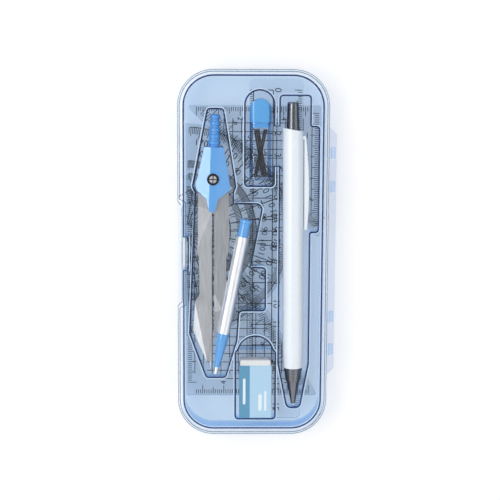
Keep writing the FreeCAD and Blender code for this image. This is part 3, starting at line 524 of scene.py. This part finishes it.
def solid_plastic(name, first, second, rough_low, rough_high, grain, relief, gloss=0.5):
    """Opaque moulded plastic with a slight drift of colour and gloss and a fine grain."""
    made = new_material(name)
    drift = noise_in_object(made, 90.0, 3.0)
    pits = noise_in_object(made, grain, 4.0)
    bump = add(made, "ShaderNodeBump", Strength=relief, Distance=0.1 * mm)
    wire(made, pits, bump.inputs["Height"])
    face = add(made, "ShaderNodeBsdfPrincipled", Specular_IOR_Level=gloss)
    wire(made, tint_between(made, drift, first, second), face.inputs["Base Color"])
    wire(made, spread(made, pits, rough_low, rough_high), face.inputs["Roughness"])
    wire(made, bump.outputs["Normal"], face.inputs["Normal"])
    out = add(made, "ShaderNodeOutputMaterial")
    wire(made, face.outputs["BSDF"], out.inputs["Surface"])
    return made


def shifted(row, aside, down):
    """A closed row of points moved to the left of its own direction and down."""
    moved = []
    for before, place, after in zip(row[-1:] + row[:-1], row, row[1:] + row[:1]):
        along = (after - before).normalized()
        moved.append(place + Vector((-along.y * aside, along.x * aside, -down)))
    return moved


tray_rims = rim_loops("insert_tray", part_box("insert_tray")[1].z)
# Painted highlight: a pale opaque strip beside the dark one stands for the glint on each pocket's rounded
# edge.
highlight_rows = [shifted(row, 0.6 * mm, 0.1 * mm) for row in tray_rims]
# Painted shade: a thin dark blue strip along each pocket mouth stands for the dark edge of its wall.
shade_line_stops = ((0.0, (0.03, 0.22, 0.46)), (1.0, (0.04, 0.24, 0.48)))
shade_line_blue = clear_plastic("painted shade line blue", (0.1, 0.05, 0.01), 0.03, shade_line_stops)
highlight_blue = solid_plastic("painted highlight blue", (0.66, 0.84, 1.0), (0.70, 0.87, 1.0), 0.12, 0.2, 900.0, 0.02)
bead("tray_shade_lines", tray_rims, 0.38 * mm, shade_line_blue, "case")
bead("tray_highlight_lines", highlight_rows, 0.28 * mm, highlight_blue, "case")

# Compass
# Two moulded blue covers hold a ribbed grip and, with a screw, two die-cast zinc legs tumbled to a satin.
# A clutch lead holder, a plated tube with a blue nose and cap, is riveted to the right-hand leg.


def metal(name, first, second, rough_low, rough_high, stretch, relief, side_shade=0.0, slot_shade_height=None):
    """Bare metal with brush marks, long where stretch is small. A painted shade darkens facets that look
    towards +X, away from the lamps, and below the given height the metal is painted near black, a painted
    shade in the slot."""
    made = new_material(name)
    brushed = noise_in_object(made, 1600.0, 4.0, stretch)
    bump = add(made, "ShaderNodeBump", Strength=relief, Distance=0.05 * mm)
    wire(made, brushed, bump.inputs["Height"])
    face = add(made, "ShaderNodeBsdfPrincipled", Metallic=1.0)
    tone = spread(made, brushed, 0.3, 0.5)
    # Painted shade: facets that look towards +X, away from the lamps, are darkened.
    if side_shade:
        shade = arithmetic(made, "MULTIPLY", axis(made, "Normal", "X"), side_shade)
        tone = arithmetic(made, "SUBTRACT", tone, shade)
    colour = tint_between(made, tone, first, second)
    # Painted shade: below the given height, in the screw's slot, the colour turns near black.
    if slot_shade_height:
        slot_shade_mask = arithmetic(made, "LESS_THAN", axis(made, "Object", "Z"), slot_shade_height)
        colour = tint_between(made, slot_shade_mask, colour, (0.015, 0.015, 0.018))
    wire(made, colour, face.inputs["Base Color"])
    wire(made, spread(made, brushed, rough_low, rough_high), face.inputs["Roughness"])
    wire(made, bump.outputs["Normal"], face.inputs["Normal"])
    out = add(made, "ShaderNodeOutputMaterial")
    wire(made, face.outputs["BSDF"], out.inputs["Surface"])
    return made


along_leg = (1.0, 0.08, 1.0)
along_tube = (1.0, 0.05, 1.0)
head_blue = solid_plastic("head blue", (0.10, 0.36, 0.78), (0.13, 0.41, 0.83), 0.18, 0.26,
                          900.0, 0.05, 0.65)
handle_blue = solid_plastic("handle blue", (0.06, 0.29, 0.70), (0.08, 0.33, 0.76), 0.35, 0.5,
                            900.0, 0.1, 0.7)
# The legs' facets carry a painted shade, darker where they look towards +X, away from the lamps.
needle_leg_satin = metal("needle leg satin", (0.30, 0.31, 0.33), (0.92, 0.93, 0.95), 0.28, 0.40,
                         along_leg, 0.1, 4.0)
pencil_leg_satin = metal("pencil leg satin", (0.18, 0.19, 0.21), (0.86, 0.87, 0.89), 0.28, 0.40,
                         along_leg, 0.1, 4.0)
bright_metal = metal("bright metal", (0.66, 0.67, 0.69), (0.90, 0.91, 0.93), 0.40, 0.48, along_tube, 0.0)
# The screw's slot is painted near black below this height, as shade.
screw_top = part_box("pivot_screw")[1].z - 0.1 * mm
screw_metal = metal("screw metal", (0.80, 0.81, 0.83), (0.92, 0.93, 0.95), 0.18, 0.26,
                    (1, 1, 1), 0.0, 0.0, screw_top)
black_plastic = solid_plastic("black plastic", (0.005, 0.005, 0.006), (0.010, 0.010, 0.011), 0.4, 0.55,
                              900.0, 0.1, 0.15)
graphite = solid_plastic("graphite", (0.006, 0.006, 0.007), (0.014, 0.014, 0.016), 0.25, 0.4,
                         1200.0, 0.2, 0.2)
natural_plastic = solid_plastic("natural plastic", (0.72, 0.72, 0.68), (0.78, 0.78, 0.75), 0.4, 0.55,
                                900.0, 0.05)
spring_steel = metal("spring steel", (0.45, 0.46, 0.48), (0.55, 0.56, 0.58), 0.2, 0.35, (1, 1, 1), 0.05)
brass = metal("turned brass", (0.62, 0.42, 0.15), (0.70, 0.49, 0.19), 0.2, 0.35, along_tube, 0.05)
dress(head_blue, "head_front_cover", "head_back_cover", "holder_cap", "holder_nose")
dress(handle_blue, "grip_handle")
dress(needle_leg_satin, "needle_leg")
dress(pencil_leg_satin, "pencil_leg")
dress(bright_metal, "pivot_nut", "needle", "holder_stud", "holder_barrel", "holder_tip")
dress(screw_metal, "pivot_screw")
dress(black_plastic, "pivot_ring")
dress(natural_plastic, "friction_washer", "holder_push_tube")
dress(brass, "holder_chuck")
dress(graphite, "holder_lead")


def pressed_spring(name, body):
    """The coil as a closed mesh of its own on the body given, in place of the CAD coil, which is hidden."""
    coil = bmesh.new()
    coil.from_mesh(node[name].data)
    bmesh.ops.remove_doubles(coil, verts=coil.verts, dist=1e-7)
    mesh = bpy.data.meshes.new(name + "_coil")
    coil.to_mesh(mesh)
    coil.free()
    mesh.materials.append(spring_steel)
    for face in mesh.polygons:
        face.use_smooth = True
    made = link_object(name + "_coil", mesh)
    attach(made, body)
    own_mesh(made)
    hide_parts(name)


dress(spring_steel, "holder_spring")
pressed_spring("holder_spring", "holder_leg")

# Lead case
# A small clear tube with a snap-on blue cap, both moulded, with five loose graphite leads in it.
# It lies in the pocket between the compass and the pencil.

cap_blue = solid_plastic("cap blue", (0.09, 0.38, 0.78), (0.11, 0.42, 0.82), 0.2, 0.3, 900.0, 0.03, 0.6)
dress(cap_blue, "lead_case_cap")
# The tube's walls get a deeper painted shade; level faces keep its own tint.
tube_slopes = ((0.0, (0.50, 0.68, 0.88)), (0.60, (0.60, 0.76, 0.92)), (0.95, (0.97, 0.985, 1.0)),
               (1.0, (0.97, 0.985, 1.0)))
tube_clear = clear_plastic("tube clear", (0.02, 0.012, 0.004), 0.03, tube_slopes)
dress(tube_clear, "lead_case_tube")
dress(graphite, "spare_leads")

# Mechanical pencil
# A white moulded barrel with a sprung clip, and a turned nose and push button plated in gunmetal.
# Inside are a feed tube, a brass clutch and its ring, and the coil spring that returns the button.

white_plastic = solid_plastic("white plastic", (0.87, 0.91, 0.96), (0.91, 0.945, 0.985), 0.2, 0.3,
                              700.0, 0.02)
gunmetal = metal("gunmetal plate", (0.10, 0.105, 0.12), (0.17, 0.175, 0.19), 0.18, 0.28,
                 (0.05, 1.0, 0.05), 0.03)
dress(white_plastic, "pencil_barrel", "pencil_clip")
dress(gunmetal, "pencil_button", "pencil_nose")
dress(bright_metal, "lead_sleeve")
dress(natural_plastic, "lead_tube")
dress(brass, "clutch", "clutch_ring")
dress(graphite, "pencil_lead")
dress(spring_steel, "pencil_spring")
pressed_spring("pencil_spring", "case")

# Eraser
# A block of white vinyl pushed into a sleeve of coated card, folded and glued at the back.
# The sleeve is printed in two blues with plain pale bars.

rubber_white = solid_plastic("rubber white", (0.80, 0.80, 0.79), (0.86, 0.86, 0.85), 0.6, 0.8, 500.0, 0.2)
dress(rubber_white, "eraser_block", "button_eraser")


def rounded_bar(material, x, y0, y1, radius):
    """1 inside a bar along Y with round ends, 0 outside it."""
    aside = arithmetic(material, "SUBTRACT", axis(material, "Object", "X"), x)
    from_middle = arithmetic(material, "SUBTRACT", axis(material, "Object", "Y"), (y0 + y1) / 2)
    along = arithmetic(material, "ABSOLUTE", from_middle, 0.0)
    along = arithmetic(material, "SUBTRACT", along, abs(y1 - y0) / 2 - radius)
    along = arithmetic(material, "MAXIMUM", along, 0.0)
    square = arithmetic(material, "ADD", arithmetic(material, "MULTIPLY", along, along),
                        arithmetic(material, "MULTIPLY", aside, aside))
    return arithmetic(material, "LESS_THAN", square, radius * radius)


def printed_card(name):
    """Coated card: pale blue with a deeper stripe down one side and plain pale bars."""
    made = new_material(name)
    grain = noise_in_object(made, 900.0, 3.0)
    stripe = arithmetic(made, "LESS_THAN", axis(made, "Object", "X"), -1.2 * mm)
    ground = tint_between(made, grain, (0.43, 0.65, 0.83), (0.49, 0.71, 0.88))
    deep = tint_between(made, grain, (0.09, 0.30, 0.48), (0.12, 0.34, 0.52))
    colour = tint_between(made, stripe, ground, deep)
    for x, y0, y1, radius in ((-3.8, -70.5, -58.0, 0.6), (3.6, -73.5, -65.5, 0.8), (6.1, -73.5, -64.0, 0.5)):
        inside = rounded_bar(made, x * mm, y0 * mm, y1 * mm, radius * mm)
        colour = tint_between(made, inside, colour, (0.85, 0.92, 0.97))
    face = add(made, "ShaderNodeBsdfPrincipled")
    wire(made, colour, face.inputs["Base Color"])
    wire(made, spread(made, grain, 0.35, 0.5), face.inputs["Roughness"])
    out = add(made, "ShaderNodeOutputMaterial")
    wire(made, face.outputs["BSDF"], out.inputs["Surface"])
    return made


dress(printed_card("sleeve card"), "eraser_sleeve")

# Lid
# The clear cover, moulded in the same styrene as the tub but without its tint, with a rail for the hinge.
# A thin grey strip of painted shade outlines its foot, and the snap tongue hangs in the finger recess.

rail_tint = (0.90, 0.92, 0.96)
lid_clear = clear_plastic("lid clear", (0.003, 0.0015, 0.0005), 0.05, case_slopes, rail_tint)
dress(lid_clear, "lid_shell", "latch_tongue")
lid_foot = 12.65 * mm
# Painted shade: a thin grey strip round the lid's foot stands for the dark outline of its clear edge.
outline_shade_stops = ((0.0, (0.42, 0.50, 0.58)), (1.0, (0.48, 0.56, 0.64)))
outline_shade_grey = clear_plastic("painted outline grey", (0.05, 0.03, 0.02), 0.03, outline_shade_stops)
bead("lid_shade_lines", rim_loops("lid_shell", lid_foot), 0.2 * mm, outline_shade_grey, "lid")

# Stage
# A sheet of white paper on a table, lit by an even white room and two soft boxes from the left.
# The camera looks down from above, as the photographer did.

scene = bpy.context.scene
scene.view_settings.view_transform = "Standard"
scene.cycles.transparent_max_bounces = 64
floor_mesh = bpy.data.meshes.new("floor")
floor_mesh.from_pydata([(-4, -4, 0), (4, -4, 0), (4, 4, 0), (-4, 4, 0)], [], [(0, 1, 2, 3)])
floor = link_object("floor", floor_mesh)
floor.location.z = -0.2 * mm
paper = new_material("floor paper")
fibre = noise_in_object(paper, 40.0, 3.0)
sheet = add(paper, "ShaderNodeBsdfDiffuse", Roughness=0.5)
wire(paper, tint_between(paper, fibre, (0.60, 0.60, 0.605), (0.63, 0.63, 0.635)), sheet.inputs["Color"])
path = add(paper, "ShaderNodeLightPath")
seen = arithmetic(paper, "MAXIMUM", path.outputs["Is Camera Ray"], path.outputs["Is Glossy Ray"])
seen = arithmetic(paper, "MAXIMUM", seen, path.outputs["Is Transmission Ray"])
backdrop = add(paper, "ShaderNodeEmission", Color=(1, 1, 1, 1))
glow = 0.48
wire(paper, arithmetic(paper, "MULTIPLY", seen, glow), backdrop.inputs["Strength"])
sum_of_both = add(paper, "ShaderNodeAddShader")
out = add(paper, "ShaderNodeOutputMaterial")
wire(paper, sheet.outputs["BSDF"], sum_of_both.inputs[0])
wire(paper, backdrop.outputs["Emission"], sum_of_both.inputs[1])
wire(paper, sum_of_both.outputs["Shader"], out.inputs["Surface"])
floor_mesh.materials.append(paper)
floor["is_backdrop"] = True

world = bpy.data.worlds.new("studio")
world.use_nodes = True
world.node_tree.nodes.clear()
scene.world = world
sky = add(world, "ShaderNodeBackground", Color=(1, 1, 1, 1), Strength=0.75)
behind = add(world, "ShaderNodeBackground", Color=(1, 1, 1, 1), Strength=1.0)
mirrored = add(world, "ShaderNodeBackground", Strength=1.0)
place = add(world, "ShaderNodeTexCoord")
axes = add(world, "ShaderNodeSeparateXYZ")
wire(world, place.outputs["Generated"], axes.inputs["Vector"])
ramp = add(world, "ShaderNodeValToRGB")
ramp.color_ramp.elements[0].color = (0.20, 0.20, 0.22, 1)
ramp.color_ramp.elements[1].color = (0.55, 0.55, 0.56, 1)
for position, grey in ((0.35, 0.28), (0.50, 1.8), (0.80, 1.8), (0.92, 0.52)):
    ramp.color_ramp.elements.new(position).color = (grey, grey, grey, 1)
wire(world, axes.outputs["Z"], ramp.inputs["Fac"])
wire(world, ramp.outputs["Color"], mirrored.inputs["Color"])
path = add(world, "ShaderNodeLightPath")
glossy = add(world, "ShaderNodeMixShader")
whole = add(world, "ShaderNodeMixShader")
out = add(world, "ShaderNodeOutputWorld")
wire(world, path.outputs["Is Glossy Ray"], glossy.inputs["Fac"])
wire(world, sky.outputs["Background"], glossy.inputs[1])
wire(world, mirrored.outputs["Background"], glossy.inputs[2])
wire(world, path.outputs["Is Camera Ray"], whole.inputs["Fac"])
wire(world, glossy.outputs["Shader"], whole.inputs[1])
wire(world, behind.outputs["Background"], whole.inputs[2])
wire(world, whole.outputs["Shader"], out.inputs["Surface"])


def soft_box(name, place, size, power):
    """Square lamp that looks at the origin."""
    data = bpy.data.lights.new(name, "AREA")
    data.energy = power
    data.size = size
    made = link_object(name, data)
    made.location = place
    made.rotation_euler = (-Vector(place)).to_track_quat("-Z", "Y").to_euler()
    made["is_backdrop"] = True


soft_box("key light", (-0.40, 0.25, 0.70), 0.35, 1.2)
soft_box("side light", (-0.47, -0.03, 0.67), 0.20, 1.2)

picture_width = 500
pixels_per_tangent = 1383.7
lens = bpy.data.cameras.new("camera")
lens.sensor_width = 36
lens.lens = lens.sensor_width * pixels_per_tangent / picture_width
lens.clip_start = 0.01
lens.clip_end = 20
camera = link_object("camera", lens)
camera.location = (-0.0134, 0.1069, 0.6410)
camera.rotation_euler = (math.radians(-9.435), math.radians(-1.052), math.radians(0.273))
scene.camera = camera

low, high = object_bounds()
